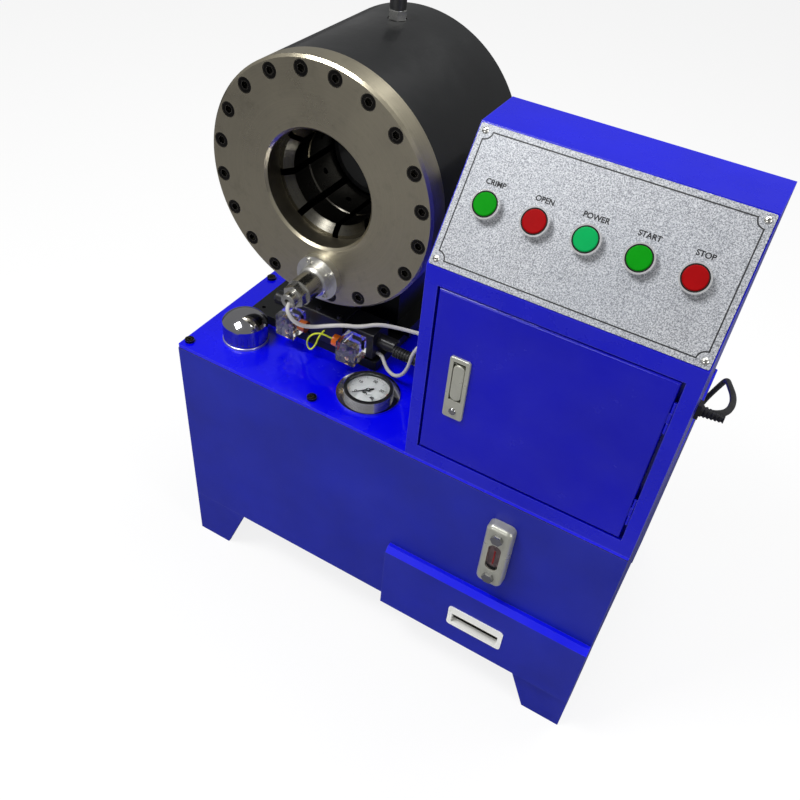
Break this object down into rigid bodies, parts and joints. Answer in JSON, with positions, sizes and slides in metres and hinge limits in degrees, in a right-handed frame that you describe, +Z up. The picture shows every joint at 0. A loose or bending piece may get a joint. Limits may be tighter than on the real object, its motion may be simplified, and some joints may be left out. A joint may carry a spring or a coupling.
{
  "type": "hose crimping machine",
  "caption": "Hydraulic hose crimping machine: oil tank on feet with drawer, crimping head with sliding dies and wedge piston, motor pump, control cabinet and power cord.",
  "frame": {"origin": "on the floor, at the middle of the machine's box measured without its cord", "axes": "+Z up, +X to the operator's right, the operator stands at -Y"},
  "size_m": [0.6865, 0.587, 0.831],
  "materials": {
    "blue_paint": "gloss",
    "blue_panel": "gloss",
    "black_metal": "satin",
    "flange_steel": "satin",
    "bright_steel": "satin",
    "die_steel": "satin",
    "chrome_part": "polished",
    "black_oxide": "satin",
    "plate_alloy": "satin",
    "rubber_black": "matt",
    "cast_motor": "satin",
    "zinc_steel": "satin",
    "white_face": "matt",
    "clear_glass": "clear",
    "clear_plastic": "clear",
    "black_plastic": "satin",
    "green_plastic": "gloss",
    "lamp_plastic": "gloss",
    "red_plastic": "gloss",
    "grey_cable": "satin",
    "earth_green": "satin",
    "cord_black": "satin"
  },
  "bodies": {
    "machine": {"oil_tank": "blue_panel", "tank_feet": "blue_panel", "tank_lid": "blue_paint", "lid_gasket": "rubber_black", "lid_screws": "black_oxide", "filler_neck": "chrome_part", "gauge_case": "chrome_part", "gauge_dial": "white_face", "gauge_glass": "clear_glass", "level_gauge_frame": "chrome_part", "level_gauge_window": "clear_plastic", "level_gauge_bolts": "chrome_part", "control_cabinet": "blue_paint", "control_panel": "plate_alloy", "button_bodies": "bright_steel", "power_lamp": "lamp_plastic", "electrical_plate": "zinc_steel", "head_cylinder": "black_metal", "head_flange": "flange_steel", "flange_bolts": "black_oxide", "head_base": "black_metal", "solenoid_valve": "black_metal", "solenoid_plugs": "clear_plastic", "scale_base": "chrome_part", "sensor_cable": "grey_cable", "earth_wire": "earth_green", "cable_conduit": "black_plastic", "solenoid_cable": "grey_cable", "motor_body": "cast_motor", "gear_pump": "cast_motor", "test_port": "chrome_part", "cable_glands": "black_plastic", "power_cord": "cord_black", "cord_coil": "cord_black", "power_plug": "cord_black"},
    "piston": {"piston": "die_steel", "piston_seals": "rubber_black"},
    "drawer": {"drawer": "blue_panel", "drawer_pull": "chrome_part"},
    "door": {"cabinet_door": "blue_panel", "door_lock": "chrome_part"},
    "lock_handle": {"lock_handle": "chrome_part"},
    "lock_button": {"lock_button": "chrome_part"},
    "lock_tongue": {"lock_tongue": "zinc_steel"},
    "crimp_button": {"crimp_button": "green_plastic"},
    "open_button": {"open_button": "red_plastic"},
    "start_button": {"start_button": "green_plastic"},
    "stop_button": {"stop_button": "red_plastic"},
    "scale_knob": {"scale_knob": "black_oxide"},
    "gauge_pointer": {"gauge_pointer": "black_metal"},
    "filler_cap": {"filler_cap": "chrome_part"},
    "rotor": {"motor_rotor": "bright_steel"},
    "die_1": {"die_1": "die_steel"},
    "die_2": {"die_2": "die_steel"},
    "die_3": {"die_3": "die_steel"},
    "die_4": {"die_4": "die_steel"},
    "die_5": {"die_5": "die_steel"},
    "die_6": {"die_6": "die_steel"},
    "die_7": {"die_7": "die_steel"},
    "die_8": {"die_8": "die_steel"}
  },
  "joints": [
    {"name": "piston_stroke", "type": "slide", "parent": "machine", "child": "piston", "axis": [0, -1, 0], "range_m": [0, 0.038]},
    {"name": "die_1_slide", "type": "slide", "parent": "machine", "child": "die_1", "axis": [0.866, 0, 0.5], "range_m": [0, 0.011]},
    {"name": "die_2_slide", "type": "slide", "parent": "machine", "child": "die_2", "axis": [0.2588, 0, 0.9659], "range_m": [0, 0.011]},
    {"name": "die_3_slide", "type": "slide", "parent": "machine", "child": "die_3", "axis": [-0.5, 0, 0.866], "range_m": [0, 0.011]},
    {"name": "die_4_slide", "type": "slide", "parent": "machine", "child": "die_4", "axis": [-0.9659, 0, 0.2588], "range_m": [0, 0.011]},
    {"name": "die_5_slide", "type": "slide", "parent": "machine", "child": "die_5", "axis": [-0.866, 0, -0.5], "range_m": [0, 0.011]},
    {"name": "die_6_slide", "type": "slide", "parent": "machine", "child": "die_6", "axis": [-0.2588, 0, -0.9659], "range_m": [0, 0.011]},
    {"name": "die_7_slide", "type": "slide", "parent": "machine", "child": "die_7", "axis": [0.5, 0, -0.866], "range_m": [0, 0.011]},
    {"name": "die_8_slide", "type": "slide", "parent": "machine", "child": "die_8", "axis": [0.9659, 0, -0.2588], "range_m": [0, 0.011]},
    {"name": "drawer_slide", "type": "slide", "parent": "machine", "child": "drawer", "axis": [0, -1, 0], "range_m": [0, 0.26]},
    {"name": "door_hinge", "type": "hinge", "parent": "machine", "child": "door", "pos_m": [0.30775, -0.1859, 0.5325], "axis": [0, 0, 1], "range_deg": [0, 110]},
    {"name": "handle_hinge", "type": "hinge", "parent": "door", "child": "lock_handle", "pos_m": [0.089, -0.1845, 0.559], "axis": [-1, 0, 0], "range_deg": [0, 55]},
    {"name": "lock_button_press", "type": "slide", "parent": "door", "child": "lock_button", "axis": [0, 1, 0], "range_m": [0, 0.0025], "stiffness_N_per_m": 400},
    {"name": "tongue_slide", "type": "slide", "parent": "door", "child": "lock_tongue", "axis": [1, 0, 0], "range_m": [0, 0.006]},
    {"name": "crimp_press", "type": "slide", "parent": "machine", "child": "crimp_button", "axis": [0, 0.8064, -0.5914], "range_m": [0, 0.004], "stiffness_N_per_m": 400},
    {"name": "open_press", "type": "slide", "parent": "machine", "child": "open_button", "axis": [0, 0.8064, -0.5914], "range_m": [0, 0.004], "stiffness_N_per_m": 400},
    {"name": "start_press", "type": "slide", "parent": "machine", "child": "start_button", "axis": [0, 0.8064, -0.5914], "range_m": [0, 0.004], "stiffness_N_per_m": 400},
    {"name": "stop_press", "type": "slide", "parent": "machine", "child": "stop_button", "axis": [0, 0.8064, -0.5914], "range_m": [0, 0.004], "stiffness_N_per_m": 400},
    {"name": "scale_turn", "type": "hinge", "parent": "machine", "child": "scale_knob", "pos_m": [-0.152, -0.1575, 0.53], "axis": [0, -1, 0], "range_deg": [-170, 170]},
    {"name": "gauge_needle", "type": "hinge", "parent": "machine", "child": "gauge_pointer", "pos_m": [-0.058, -0.1235, 0.4], "axis": [0, 0, 1], "range_deg": [-270, 0]},
    {"name": "filler_lift", "type": "slide", "parent": "machine", "child": "filler_cap", "axis": [0, 0, 1], "range_m": [0, 0.06]},
    {"name": "rotor_spin", "type": "hinge", "parent": "machine", "child": "rotor", "pos_m": [0.17, 0.0925, 0.56], "axis": [0, 0, 1], "continuous": true}
  ],
  "couplings": [
    {"joint": "die_1_slide", "follows": "piston_stroke", "ratio": 0.287},
    {"joint": "die_2_slide", "follows": "piston_stroke", "ratio": 0.287},
    {"joint": "die_3_slide", "follows": "piston_stroke", "ratio": 0.287},
    {"joint": "die_4_slide", "follows": "piston_stroke", "ratio": 0.287},
    {"joint": "die_5_slide", "follows": "piston_stroke", "ratio": 0.287},
    {"joint": "die_6_slide", "follows": "piston_stroke", "ratio": 0.287},
    {"joint": "die_7_slide", "follows": "piston_stroke", "ratio": 0.287},
    {"joint": "die_8_slide", "follows": "piston_stroke", "ratio": 0.287},
    {"joint": "tongue_slide", "follows": "handle_hinge", "m_per_rad": 0.0058}
  ]
}
